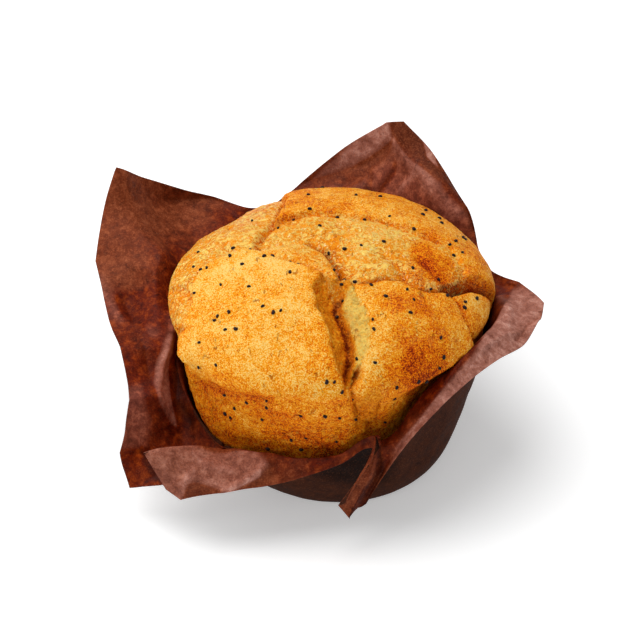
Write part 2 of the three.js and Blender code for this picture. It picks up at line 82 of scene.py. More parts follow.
CAKE_LEAN = (15, 44)  # heights between which the cake takes up the crown's lean
WALL_LEAN = (22, 44)  # and the paper

# The crown is mapped flat: a point's distance from the map's middle is its way over the surface
# from the top of the crown, so every pair below is (right, back) in millimetres on that map.
# Plates of the crown: see "lift", "drop" and "soft" in plate_relief().
PLATES = {
    "front_left": dict(lift=1.2, drop=0.5, soft=0.9, bake_and_shade=0.25, gloss=0.0, outline=[
        (-2, -11), (-4, -9), (-8, -7), (-12, -5), (-14, -3), (-17, -1), (-20, 0), (-24, -1),
        (-28, -2), (-31, -4), (-33, -9), (-33, -14), (-37, -19), (-44, -24), (-62, -34),
        (-40, -62), (9, -64), (8, -52), (5.5, -45), (4, -42), (2, -38), (1, -35), (0, -32),
        (0, -28), (-1, -25), (-3, -22), (-3, -19), (-4, -16), (-3, -14)]),
    "back_crust": dict(lift=0.5, drop=0.6, soft=1.2, bake_and_shade=0.42, gloss=0.1, outline=[
        (-12, 17), (-13, 12), (-9, 14.5), (-4, 15.5), (3, 14.8), (9, 13.5), (15, 11.5),
        (21, 8.5), (26, 7), (30, 5), (32, 1), (34, -3), (38, -3), (44, -1), (66, -2), (62, 62),
        (-20, 66), (-12, 38), (-11, 27)]),
    "back_slope": dict(lift=-0.6, drop=2.2, soft=4.5, bake_and_shade=0.24, gloss=0.8, outline=[
        (3, -12.3), (2.3, -9), (1, -5.5), (-1, -1.5), (-5, 1.6), (-13, 1.6), (-16.5, 1),
        (-17, 4), (-16, 8), (-14, 12), (-11, 27), (-12, 38), (-20, 66), (62, 62), (66, -2),
        (44, -1), (37, -3.5), (33, -6), (30, -9), (27, -11), (23, -12.5), (20, -12.5),
        (17, -10.5), (12, -11), (9, -12.5)]),
    "front_right": dict(lift=0.7, drop=0.6, soft=1.1, bake_and_shade=0.34, gloss=0.1, outline=[
        (4, -14), (9, -13.3), (12, -11.8), (17, -11.2), (20, -13.2), (23, -13.2), (26, -12.2),
        (30, -13.3), (32, -17), (36, -21), (44, -26), (60, -38), (34, -64), (10, -64),
        (9, -52), (6.5, -45), (7, -42), (8, -39), (8, -36), (8.5, -32), (9, -28), (8.5, -24),
        (7.5, -20), (5, -18.5)]),
    "left": dict(lift=-1.1, drop=0.8, soft=2.0, bake_and_shade=0.26, gloss=0.8, outline=[
        (-12, 38), (-11, 27), (-12, 20), (-14, 12), (-16, 8), (-17, 4), (-17, 0), (-20, 0.5),
        (-24, -0.5), (-28, -1.5), (-31.5, -3.5), (-33.5, -9), (-33.5, -14), (-37, -19),
        (-44, -24), (-66, -34), (-70, 40), (-20, 66)]),
    "middle": dict(lift=0.2, drop=1.0, soft=1.6, bake_and_shade=0.30, gloss=0.5, outline=[
        (-17, 0), (-13, 1), (-5, 1), (-1, -2), (1, -6), (2.5, -10), (3, -12.5), (1, -13),
        (-2, -11), (-4, -9), (-8, -7), (-12, -5), (-14, -3), (-17, -1)]),
    "right": dict(lift=-0.8, drop=1.0, soft=1.6, bake_and_shade=0.36, gloss=0.1, outline=[
        (28, -10), (31, -8.5), (34, -6), (38, -4), (44, -2), (66, -3), (64, -42), (44, -27),
        (36, -21.5), (32.5, -17), (30.5, -13)]),
}
OUTSIDE_SLOPE = 3.0  # how fast a plate falls away outside its outline
PLATE_BLEND = 0.5  # how softly one plate's looks pass into the next one's
CRACK_FADE = (45, 58)  # ways from the top over which the plates fade into the side

# The tear between the two front plates: its rim, its deepest line and its depth.
TEAR_RIM = [
    (1.3, -11.3), (-1.7, -10.5), (-2.4, -13), (-3.8, -17), (-3.6, -20), (-2.6, -22.5),
    (-1.6, -25.5), (-0.4, -28.5), (0.6, -31), (0.8, -34.5), (2.0, -38), (3.4, -41.5),
    (4.6, -43), (6.0, -40.5), (6.9, -37), (8.0, -34.5), (9.0, -32.5), (9.6, -29.5),
    (9.3, -25.5), (8.3, -21.5), (6.6, -19.0), (5.4, -15), (5.2, -11.8), (3.6, -11),
]
TEAR_BOTTOM = [
    (2.4, -16.5), (1.8, -19.5), (2.6, -22.5), (3.7, -25.5), (4.8, -29), (5.2, -32),
    (5.0, -35.5), (4.4, -39), (4.2, -41),
]
TEAR_DEPTH = 4.6
TEAR_LIP = -0.5  # relief that the tear starts down from

# Sharp cracks between plates: half width, depth and the line they follow on the map.
CRACKS = [
    (1.7, 2.6, [(-5, 1.8), (-1, -1.2), (1.2, -5.5), (2.6, -9), (3.4, -12.6)]),
    (1.7, 3.6, [(3.4, -12.6), (9, -12.9), (12, -11.4), (17, -10.9), (20, -12.8), (23, -12.9),
                (27, -11.6), (31, -9)]),
    (2.4, 4.8, [(29, -9.5), (31, -8.5), (34, -6), (38, -3.8), (46, -1.5)]),
    (1.6, 3.0, [(29, -12.5), (31.5, -14.5), (33, -18), (36, -21), (44, -26)]),
    (1.2, 1.3, [(-17, 0), (-17.3, 4), (-16, 8), (-14, 12), (-12, 19), (-11, 28)]),
    (1.1, 1.4, [(-17, -1), (-20, 0), (-24, -1), (-28, -2), (-31, -4), (-33, -9), (-33, -14),
                (-37, -19)]),
    (1.0, 1.1, [(-3, -10), (-8, -7), (-12, -5), (-14, -3), (-17, -1)]),
    (1.3, 3.4, [(1.8, -24), (2.8, -28), (3.8, -32), (4.8, -36), (4.8, -39), (4.4, -42)]),
    (0.9, 0.9, [(-9, 13.6), (-4, 14.8), (3, 14.1), (9, 12.8), (15, 10.8), (21, 7.8), (26, 6.4)]),
    (0.8, 0.8, [(5.2, -43), (7, -49), (9, -53), (15, -57)]),
]

# Soft creases of the crust: how far they fade over, depth and line.
CREASES = [
    (1.9, 0.9, [(-44, -32), (-36, -36), (-28, -40), (-18, -43), (-8, -45), (0, -46), (6, -45)]),
    (0.8, 0.5, [(-40, -40), (-30, -44), (-20, -48), (-10, -50)]),
    (1.8, 0.8, [(1, -1), (3.5, -4), (5, -8), (6, -12)]),
    (1.2, 0.7, [(12, -1), (15, -4), (18, -9)]),
    (1.0, 0.7, [(21, -2), (24, -5), (29, -8)]),
    (0.9, 0.8, [(-42, -2), (-37, -5), (-34, -10)]),
    (1.0, 0.8, [(-44, -15), (-39, -18), (-35, -20)]),
    (1.0, 0.5, [(-24, 2), (-26, 9), (-25, 16)]),
    (0.6, 0.6, [(15, -41), (15, -48), (17, -56)]),
]

# Swellings and hollows: middle on the map, radius and height.
SWELLS = [
    (-15, -20, 13, 0.7), (18, -23, 8, 0.7), (-38, -11, 5, 0.9), (-37.5, -26, 1.2, 0.8),
    (-6, 8, 5, 0.5), (8, 1, 5, 0.6), (12, -8, 4, 0.7), (24, 0, 5, 0.4), (-24, 10, 7, 0.5),
    (-38, -24, 1.4, 1.0), (-40, -28, 1.2, 0.9), (-41, -33, 1.5, 0.8), (-38, -38, 1.6, 0.6),
    (0, 32, 18, -1.2), (-28, 27, 14, -2.2), (30, 25, 14, -0.6), (10, -50, 4, -0.5),
]

# Browner and paler places, some of them painted shade and painted light by the tear's walls and on
# the lower right side: middle on the map, radius and how much browner.
BROWNED_AND_SHADED = [
    (-1, -17, 3.5, 0.25), (0, -24, 2.5, 0.2), (24, -3, 6.5, 0.38), (22, 4, 5, 0.2),
    (15, -20, 4, 0.16), (23, -19, 4, 0.16), (24, -36, 8, 0.36), (-2, -26, 4, 0.12),
    (0, -34, 4, 0.15), (-18, -8, 9, -0.1), (-15, -36, 7, -0.08), (8, -37, 4, -0.15),
    (8, -33, 4, -0.2), (8, -16, 4, -0.14), (-5, -67, 8, 0.25), (-38, -11, 5, 0.08),
    (-30, -45, 12, -0.05), (-40, -8, 6, 0.14), (20, -36, 7, 0.1),
]
TORN_PATCH = ((11, -50), (4.5, 9))  # a patch of bare crumb on the side: middle and half sizes

# The poppy seeds that lie on the crust, as places on the map.
SEEDS = [
    (-32.5, 7), (-33.5, 1), (-23, 3), (-23.5, -0.3), (-19, 16.5), (-17, 1),
    (-23, -3), (-28.5, -5.2), (-30, -5), (-18.5, -1), (-13.2, -4.5), (-15, -5), (-20, -7),
    (-9, -7), (-7.3, -7), (-9, -11.5), (-25, -12.3), (-31.5, -12), (-18.3, -15), (-23, -21),
    (-26.5, -22), (-25.7, -21.2), (-15, -21.7), (-11, -23.3), (-12.7, -23.6), (-24, -25.2),
    (-21.4, -25.8), (-31, -25.5), (-33.5, -30), (-27.5, -32),
    (-0.2, 0), (2.2, -7), (1, -9.3), (2.8, -13.3), (3.2, -16.7), (1.8, -20.5), (3.4, -11.8),
    (-4.6, 16), (-8.5, 14), (-12.3, 11), (-2.2, 9), (3.6, 0), (7.5, 0.3), (12.8, 2.3),
    (8.5, 12), (14.5, 13.4), (2, 13.5), (20.3, 9.3), (-5, 25.5), (6.7, 24.7), (12.7, 25.7),
    (23, 18.5), (24.2, 23), (27.5, 20), (27.7, 16.7), (33, 12.5), (33.6, 12), (29, 6),
    (30.5, 8), (32, 4), (30.2, 3), (26.5, -6.5), (24.5, -10.5), (19.7, -5.5), (6, -10.5),
    (9.5, -15), (17.7, -15.3), (12.7, -18.4), (19.2, -18.2), (18.3, -22.3), (25, -13),
    (27.5, -14), (9.7, -25), (10, -27.5), (26, -26.3), (27.5, -30.3), (27, -33), (10.5, -35.4),
    (6.5, -34.3), (22, -37.5), (25, -37), (27, -37.3), (16.5, -40), (19, -44.5), (2.9, -42.3),
    (-0.8, -40.2), (1, -40.2), (33.3, -12), (33.3, -13.8), (36.8, -9), (-34, -39.3),
    (-41, -43), (-39, -45), (-34, -43.8), (-25, -43.3), (-17.8, -44), (-19, -46), (-25, -50),
    (-9.5, -50.3), (-1.8, -49.8), (2.5, -51), (6.3, -46), (-31.5, -59), (-19, -59.5),
    (-12, -59.5), (-16.5, -63.5), (0.2, -62.3), (20.5, -54.3), (8, -53),
]
SEED_LENGTH = 1.05
SEED_PROUD = 0.08  # how far a seed's middle stands over the crust
HIDDEN_SEEDS = 60  # on the side and back

# Radial ribs of the paper, anticlockwise from the right: bearing in degrees, two wall heights,
# then three points that lead out to the edge of the sheet.
RIBS = [
    (4, 25, 38, (41, 4, 39.5), (45, 4, 39), (49, 3, 39)),
    (14, 25, 36, (42, 10, 38), (42.5, 10, 39), (43.5, 10, 39.5)),
    (22, 25, 35, (38.5, 14, 35.5), (39.5, 15, 36), (40, 15.5, 37)),
    (28, 25, 34, (36.5, 18.5, 34.5), (36.5, 19.5, 35), (37, 20, 36)),
    (34, 25, 34, (33.5, 22.5, 36), (34, 23.5, 37.5), (34.5, 24.5, 38.5)),
    (44, 25, 37, (32.5, 29, 40.5), (33, 31, 42), (32, 33, 45)),
    (58, 25, 38, (25.5, 37, 48), (25, 41, 50), (23.5, 45, 53)),
    (69, 25, 38, (17.5, 44, 47), (17, 47, 52.5), (16.5, 50, 59)),
    (78, 25, 38, (12, 45, 47), (12.5, 49, 51.5), (12.5, 52, 57.5)),
    (91, 25, 38, (4, 46, 43.5), (3.5, 49, 46.5), (2, 51, 50.5)),
    (102, 25, 38, (-11, 44, 39), (-11.5, 45, 39.5), (-12.5, 46, 40)),
    (109, 25, 38, (-17, 42, 38), (-17, 43, 37.5), (-16.5, 43.5, 38)),
    (118, 25, 36, (-24, 38, 39.5), (-23.5, 39, 39.5), (-22.5, 40, 40)),
    (130, 25, 38, (-29, 40, 40), (-31, 42, 41), (-31, 42, 42)),
    (142, 25, 36, (-38, 35, 40), (-41, 40, 42), (-41, 40, 46.5)),
    (152, 25, 36, (-42.5, 24, 41), (-48.5, 28.5, 48), (-54, 33.5, 56.5)),
    (159, 25, 36, (-42, 17, 43.5), (-49, 22, 45.5), (-57, 26, 48.5)),
    (166, 25, 34, (-43.5, 11, 42), (-51, 15, 41), (-58.5, 17, 40.5)),
    (173, 24, 32, (-43.5, 6, 38), (-50, 8, 37), (-56.5, 9, 37.5)),
    (180, 24, 30, (-42.5, 0, 35), (-47.5, 0, 35), (-54.5, 1, 34.5)),
    (188, 22, 28, (-41, -6, 31.5), (-45.5, -8, 33.5), (-51.5, -8, 34)),
    (194, 21, 26, (-39, -9, 26.5), (-44, -12, 29.5), (-49.5, -15, 29.5)),
    (200, 20, 23.5, (-38, -14, 23.5), (-43, -17, 26), (-49, -19, 27)),
    (206, 19, 21, (-37.5, -17, 18), (-44, -21, 20.5), (-50, -24, 22)),
    (212, 17, 19, (-36, -21, 14.5), (-44, -25, 16.5), (-51, -28, 17.5)),
    (218, 16, 17.5, (-31.5, -25, 14), (-40, -29, 13.5), (-49, -31, 10)),
    (222, 16, 17.5, (-28.5, -28, 17.5), (-34.5, -30, 15.5), (-40.5, -32, 12)),
    (226, 16, 18, (-26.5, -27, 16), (-31.5, -28, 14), (-37, -29, 11)),
    (230, 16, 19, (-27, -31, 23), (-35.5, -34, 25.5), (-45, -36, 25.5)),
    (234, 16, 19.5, (-25.5, -32, 23.5), (-33, -35.5, 22), (-40, -38, 16)),
    (240, 17, 20, (-23.5, -33, 24), (-29.5, -37, 20.5), (-36.5, -39, 14)),
    (250, 17, 20, (-17.5, -34, 23.5), (-19.5, -38, 21), (-23, -40, 17.5)),
    (256, 17, 20, (-13, -34.5, 23), (-15.5, -37.5, 20.5), (-17.5, -40, 18.5)),
    (262, 17, 20, (-8.5, -35, 23), (-9, -37, 21.5), (-10, -39, 20)),
    (272, 17, 21, (-0.5, -35, 24), (0, -36.5, 24), (0, -37.5, 23)),
    (279, 17, 23, (5, -36, 29), (5.5, -37, 28.5), (5.5, -38, 28)),
    (282, 17.5, 24, (7.5, -36.5, 31), (8.6, -37.6, 30.8), (9.2, -38.8, 29.2)),
    (284, 18, 25, (9, -37, 32), (5.5, -41.5, 25), (-0.5, -44.5, 16.5)),
    (287, 19, 26, (10, -37.5, 30.5), (7, -42, 23), (2.5, -45.5, 13)),
    (290, 20, 26, (10.5, -37, 28), (9.5, -39.5, 22), (5, -43.5, 15)),
    (295, 22, 28, (13, -35.5, 28.5), (13.5, -37, 27.5), (12.5, -39, 25.5)),
    (301, 24, 33, (17, -33.5, 33), (18.5, -34.5, 33), (19.5, -35.5, 33.5)),
    (311, 25, 37, (22.5, -30, 39), (23.5, -31, 38.5), (25, -32, 38)),
    (322, 25, 39, (27.5, -25, 43.5), (29.5, -26, 42), (31, -27, 40.5)),
    (334, 25, 39, (32, -18, 43.5), (34.5, -19, 41.5), (37, -20, 40)),
    (345, 25, 39, (36, -10, 42), (39.5, -11, 40.5), (43.5, -12, 38)),
    (354, 25, 39, (38.5, -3, 41), (42.5, -4, 40), (47.5, -5, 40.5)),
]
SHARP_RIBS = (
    4, 14, 69, 78, 102, 152, 166, 188, 200, 218, 222, 226, 230, 234, 240, 282,
    284, 287, 290, 354,
)
RIB_TENSION = 0.32
FACETS = [(2.6, 17, 21), (0.9, 7.5, 22)]  # flats of the crumpled paper: height, size and seed
LONG_RIB = 22  # from this loose length on, the facets have their full height

# The paper is mapped flat like the sheet it was: a point's distance from the map's middle is its
# way over the paper from the middle of the foot.
# Folds: how high they stand on the inner face, half width and line.
FOLDS = [
    (1.2, 4.0, [(-84, 14), (-76, 3), (-72, 0), (-66, -5)]),
    (-1.6, 4.0, [(-76, 8), (-70, -3), (-66, -10), (-61, -17), (-57, -22), (-52, -26)]),
    (2.6, 3.0, [(-63, 3), (-61, -9), (-60, -14), (-58, -20), (-53, -25)]),
    (-2.0, 3.0, [(-58, 0), (-55, -13), (-51, -20), (-47, -24)]),
    (-0.9, 2.0, [(-66, -39), (-60, -37), (-54, -34)]),
    (-1.4, 3.5, [(-14, 73), (-3, 80), (14, 82), (21, 84)]),
    (1.8, 5.0, [(18, 92), (21, 84), (29, 78), (35, 72), (41, 66), (47, 57)]),
    (-0.9, 2.5, [(21, 77), (17, 69)]),
    (-0.8, 2.5, [(-4, 76), (5, 79), (12, 71)]),
    (0.9, 2.5, [(27, 69), (35, 73), (39, 66)]),
    (0.9, 2.0, [(77, -10), (70, -21), (64, -35)]),
    (-1.2, 2.0, [(79, 6), (76, -8), (73, -20)]),
    (0.7, 2.0, [(66, 6), (70, -6), (70, -16)]),
    (1.0, 2.5, [(-37, -54), (-37, -60), (-36, -66)]),
    (1.6, 2.0, [(-27, -62), (-22, -58), (-17, -54)]),
    (0.9, 2.5, [(-38, -56), (-32, -58), (-25, -61)]),
    (0.7, 2.0, [(-38, -49), (-32, -54), (-27, -55)]),
    (-0.8, 2.0, [(-10, -57), (-5, -55), (2, -54)]),
]
# Painted sheen and painted shade on the inner face, where facets catch or miss the light: how pale,
# softness of the edge and outline.
PAINTED_SHEEN_AND_SHADE = [
    (0.12, 3.0, [(-6, 66), (-14, 74), (3, 92), (30, 96), (62, 64), (50, 50)]),
    (1.0, 0.8, [(-11, 75), (-6, 81), (3, 89), (16, 92), (20, 89), (21, 84), (14, 83), (3, 82),
                (-3, 80)]),
    (-0.6, 1.0, [(21, 92), (23, 85), (30, 79), (36, 73), (42, 67), (49, 57), (64, 60), (52, 84),
                 (30, 96)]),
    (0.7, 0.6, [(42, 80), (50, 73), (44, 71), (40, 75)]),
    (-0.45, 1.0, [(-58, 0), (-56, -12), (-51, -20), (-47, -26), (-42, -26), (-42, -18), (-46, -4),
                  (-50, 4)]),
    (0.62, 0.6, [(-62.5, -4), (-62, -12), (-60.5, -18), (-56.5, -22), (-52, -25), (-50, -25),
                 (-52, -20.5), (-55.5, -16), (-58.5, -10.5), (-60.5, -4)]),
    (-1.0, 0.5, [(-57, -34), (-53, -36), (-49, -39), (-48, -42), (-51, -40.5), (-54, -38)]),
    (0.20, 2.0, [(-70, -20), (-62, -18), (-58, -26), (-56, -33), (-61, -36), (-66, -34)]),
    (0.32, 0.8, [(-48, -56), (-40, -46), (-28, -48), (-22, -49), (-17, -54), (-25, -61),
                 (-32, -58), (-37, -56), (-37, -68), (-48, -66)]),
    (-0.30, 0.5, [(-36.5, -57), (-32, -59), (-25, -62), (-27, -70), (-36, -70)]),
    (0.85, 0.4, [(-25.5, -60.8), (-22, -58.4), (-18.8, -55.6), (-18.4, -56.6), (-22, -59.6),
                 (-25.5, -62)]),
    (-0.7, 1.5, [(5, -51), (8, -49), (14, -55), (17, -57), (14, -61), (9, -58), (5, -55)]),
    (-0.2, 0.8, [(12, -57), (18, -57), (24, -78), (19, -80), (15, -62)]),
    (-1.0, 0.5, [(18, -58), (20, -60), (21.2, -65), (21.5, -70), (23, -75), (24, -78), (27, -72),
                 (27, -66), (25.5, -62), (22.5, -58.5), (19, -56.5)]),
]
# Where fat has soaked in far from the cake.
STAINS = [
    (1.0, 3.0, [(-40, 36), (-62, 36), (-69, 22), (-72, 13), (-84, 9), (-88, -4), (-72, -42),
                (-50, -48), (-36, -30), (-40, 0)]),
    (0.7, 2.0, [(-30, 62), (-17, 77), (-9, 80), (-14, 70), (-20, 60)]),
    (0.6, 3.0, [(52, 14), (60, 18), (70, 18), (66, 6), (52, 2)]),
    (0.8, 1.0, [(20, -58), (24, -56), (32, -80), (25, -84), (22, -70)]),
]
# From the first to the second bearings the paper is dry outside its crest, with a painted sheen on
# its inner face.
SHEEN_FROM = (292, 298)
SHEEN_TO = (374, 366)
CREST_MOVES = (340, 325)  # bearings over which the crest moves in towards the cup
BEAK_HOLLOW_SHADE = [(-7, -40), (-4, -56), (22, -66), (24, -46), (14, -32)]  # painted shade on the outer face in the hollow beside the beak

FLOOR_GLOW = 0.34  # the floor is a faintly lit table


# ---------------- small maths
def smooth_step(low, high, x):
    """Eases from 0 at low to 1 at high, either of which may be the larger."""
    t = np.clip((x - low) / (high - low), 0, 1)
    return t * t * (3 - 2 * t)


def wobble(points, size, seed):
    """Smooth noise of about -1 to 1 with features of that size, one value per point."""
    places = (points / size + NOISE_SHIFT * seed).tolist()
    return np.array([noise.noise(place) for place in places])


def cells(points, size, seed):
    """Distance to the nearest of scattered points, in cell sizes."""
    places = (points / size + NOISE_SHIFT * seed).tolist()
    return np.array([noise.voronoi(place)[0][0] for place in places])


def curve_point(a, b, c, d, t, tension=0.42, corners=(False, False)):
    """A point on the smooth curve from b to c, with a and d as the neighbours either side.

    corners says whether the curve turns sharply at b and at c.
    """
    t2 = t * t
    t3 = t2 * t
    start = c - b if corners[0] else tension * (c - a)
    end = c - b if corners[1] else tension * (d - b)
    return (
        (2 * t3 - 3 * t2 + 1) * b
        + (t3 - 2 * t2 + t) * start
        + (3 * t2 - 2 * t3) * c
        + (t3 - t2) * end
    )


def distance_to_line(line, x, y):
    """Distance from each (x, y) to an open line of points."""
    nearest = np.full(x.shape, np.inf)
    for (ax, ay), (bx, by) in zip(line, line[1:]):
        ex, ey = bx - ax, by - ay
        t = np.clip(((x - ax) * ex + (y - ay) * ey) / (ex * ex + ey * ey), 0, 1)
        nearest = np.minimum(nearest, np.hypot(x - ax - t * ex, y - ay - t * ey))
    return nearest


def distance_to_outline(outline, x, y):
    """Distance from each (x, y) to a closed outline, negative inside it."""
    closed = outline + outline[:1]
    inside = np.zeros(x.shape, bool)
    for (ax, ay), (bx, by) in zip(closed, closed[1:]):
        if ay != by:
            crosses = (ay > y) != (by > y)
            inside ^= crosses & (x < ax + (bx - ax) * (y - ay) / (by - ay))
    nearest = distance_to_line(closed, x, y)
    return np.where(inside, -nearest, nearest)


def degrees_off(bearing, middle):
    """How far each bearing is from the middle one, between -180 and 180 degrees."""
    return (np.asarray(bearing) - middle + 180) % 360 - 180


def spots(places, x, y):
    """The sum of soft round spots, each given as (x, y, radius, height)."""
    total = np.zeros(x.shape)
    for px, py, radius, height in places:
        total += height * np.exp(-((x - px) ** 2 + (y - py) ** 2) / radius ** 2)
    return total


def vertex_normals(points, faces):
    """Unit normals averaged over the triangles around each point."""
    a, b, c = (points[faces[:, i]] for i in range(3))
    face_normals = np.cross(b - a, c - a)
    total = np.zeros_like(points)
    for i in range(3):
        np.add.at(total, faces[:, i], face_normals)
    return total / np.maximum(np.linalg.norm(total, axis=1, keepdims=True), 1e-12)


def mesh_object(name, points, faces, material):
    """A smooth-shaded mesh piece from points in millimetres."""
    mesh = bpy.data.meshes.new(name)
    mesh.from_pydata((points * MM).tolist(), [], faces.tolist())
    mesh.update()
    mesh.shade_smooth()
    mesh.materials.append(material)
    piece = bpy.data.objects.new(name, mesh)
    scene.collection.objects.link(piece)
    return piece


def add_attribute(piece, name, values):
    """A number at each vertex that the material reads."""
    layer = piece.data.attributes.new(name, "FLOAT", "POINT")
    layer.data.foreach_set("value", np.asarray(values, np.float32))


# ---------------- node helpers
def linear(red, green, blue):
    """A linear colour from 0-255 screen values."""
    def one(value):
        share = value / 255
        return share / 12.92 if share <= 0.04045 else ((share + 0.055) / 1.055) ** 2.4
    return (one(red), one(green), one(blue), 1.0)


class Nodes:
    """Short calls that add nodes to one material."""

    def __init__(self, name):
        self.material = bpy.data.materials.new(name)
        self.material.use_nodes = True
        self.tree = self.material.node_tree
        self.shader = self.tree.nodes["Principled BSDF"]
        self.place = self.add("ShaderNodeTexCoord").outputs["Object"]

    def add(self, kind, inputs=None, **settings):
        """A new node with those settings, and with its named inputs joined or set."""
        node = self.tree.nodes.new(kind)
        for key, value in settings.items():
            setattr(node, key, value)
        for name, value in (inputs or {}).items():
            self.join(value, node.inputs[name])
        return node

    def join(self, source, target):
        if isinstance(source, (int, float, tuple)):
            target.default_value = source
        else:
            self.tree.links.new(source, target)

    def attribute(self, name):
        return self.add("ShaderNodeAttribute", attribute_name=name).outputs["Fac"]

    def noise(self, size_mm, detail=3.0, rough=0.55, distort=0.0, stretch=None):
        place = self.place
        if stretch:
            mapping = self.add("ShaderNodeMapping", {"Vector": place, "Scale": stretch})
            place = mapping.outputs["Vector"]
        return self.add("ShaderNodeTexNoise", {
            "Vector": place, "Scale": 1 / (size_mm * MM), "Detail": detail,
            "Roughness": rough, "Distortion": distort,
        }).outputs["Fac"]

    def math(self, operation, a, b=0.5, clamp=False):
        node = self.add("ShaderNodeMath", operation=operation, use_clamp=clamp)
        self.join(a, node.inputs[0])
        self.join(b, node.inputs[1])
        return node.outputs[0]

    def spread(self, value, low, high, to_low=0.0, to_high=1.0):
        return self.add("ShaderNodeMapRange", {
            "Value": value, "From Min": low, "From Max": high, "To Min": to_low, "To Max": to_high,
        }, interpolation_type="SMOOTHSTEP").outputs["Result"]

    def ramp(self, value, *stops):
        """Colours by value; each stop is a place and a screen colour."""
        node = self.add("ShaderNodeValToRGB", {"Fac": value})
        points = node.color_ramp.elements
        while len(points) < len(stops):
            points.new(0.5)
        for point, (place, *screen_colour) in zip(points, stops):
            point.position = place
            point.color = linear(*screen_colour)
        return node.outputs["Color"]

    def mix(self, share, a, b):
        inputs = {"Factor": share, "A": a, "B": b}
        return self.add("ShaderNodeMix", inputs, data_type="RGBA").outputs["Result"]

    def tint(self, mask, strength, colour, *screen_colour):
        return self.mix(self.math("MULTIPLY", mask, strength), colour, linear(*screen_colour))

    def bump(self, height, depth_mm, strength=1.0, under=None):
        inputs = {"Height": height, "Distance": depth_mm * MM, "Strength": strength}
        if under:
            inputs["Normal"] = under
        return self.add("ShaderNodeBump", inputs).outputs["Normal"]

    def set(self, **values):
        for name, value in values.items():
            self.join(value, self.shader.inputs[name.replace("_", " ")])


# ---------------- materials
def crust_material():
    n = Nodes("baked_crust")
    bake_and_shade = n.attribute("bake_and_shade")
    torn = n.attribute("torn")
    gloss = n.attribute("gloss")
    grain = n.noise(0.30, 2, 0.6)
    sand = n.noise(0.60, 3, 0.7)
    # Four sizes of noise brown the crust by up to their last number, and pale it as much.
    shade = bake_and_shade
    for pattern, low, high, change in (
        (n.noise(5.0, 3, 0.6), 0.3, 0.7, 0.11),
        (n.noise(1.8, 3, 0.65), 0.3, 0.7, 0.09),
        (sand, 0.3, 0.7, -0.15),
        (grain, 0.32, 0.68, -0.20),
    ):
        shade = n.math("ADD", shade, n.spread(pattern, low, high, -change, change))
    crust = n.ramp(
        shade,
        (0.0, 252, 206, 116),
        (0.25, 247, 170, 22),
        (0.5, 236, 125, 0),
        (0.75, 200, 74, 0),
        (1.0, 118, 30, 0),
    )
    crumb = n.ramp(
        n.math("ADD", bake_and_shade, n.spread(sand, 0.3, 0.7, 0.22, -0.22)),
        (0.0, 255, 214, 106),
        (0.3, 255, 170, 30),
        (0.6, 232, 120, 0),
        (1.0, 120, 34, 0),
    )
    colour = n.mix(torn, crust, crumb)
    # Small pits lie in patches.
    pits = n.spread(n.noise(1.5, 3, 0.6, 0.6, stretch=(1.0, 0.5, 0.5)), 0.63, 0.70)
    pits = n.math("MULTIPLY", pits, n.spread(n.noise(7.0, 2), 0.42, 0.58))
    colour = n.tint(pits, 0.65, colour, 184, 84, 2)
    # The shiny plates are mottled with pale flakes, which also serve as painted highlights, orange
    # glaze, and tiny painted glints.
    streaks = n.noise(2.0, 5, 0.7, 1.6)
    flakes = n.math("MULTIPLY", gloss, n.spread(streaks, 0.50, 0.56))
    colour = n.tint(flakes, 0.9, colour, 255, 218, 112)
    glaze = n.math("MULTIPLY", gloss, n.spread(streaks, 0.49, 0.42))
    colour = n.tint(glaze, 0.85, colour, 232, 136, 2)
    painted_glints = n.math("MULTIPLY", gloss, n.spread(n.noise(0.6, 2, 0.6), 0.62, 0.68))
    colour = n.tint(painted_glints, 0.7, colour, 255, 240, 190)
    # The side, which the paper held, shows a little open crumb.
    crumbs = n.math("MULTIPLY", n.attribute("side"), n.spread(n.noise(1.0, 2, 0.6), 0.52, 0.66))
    colour = n.tint(crumbs, 0.5, colour, 240, 166, 50)
    normal = n.bump(sand, 0.36, 0.6)
    normal = n.bump(grain, 0.16, 0.8, under=normal)
    normal = n.bump(n.math("MULTIPLY", pits, -1.0), 0.5, 0.8, under=normal)
    normal = n.bump(flakes, 0.35, 0.6, under=normal)
    rubble = n.math("MULTIPLY", torn, n.noise(0.9, 4, 0.7))
    normal = n.bump(rubble, 1.2, 0.9, under=normal)
    rough = n.spread(gloss, 0.0, 1.0, 0.72, 0.40)
    n.set(Base_Color=colour, Roughness=rough, Normal=normal)
    n.set(Specular_IOR_Level=0.08, Subsurface_Weight=0.06, Subsurface_Scale=0.0008)
    n.shader.inputs["Subsurface Radius"].default_value = (1.0, 0.5, 0.2)
    return n.material


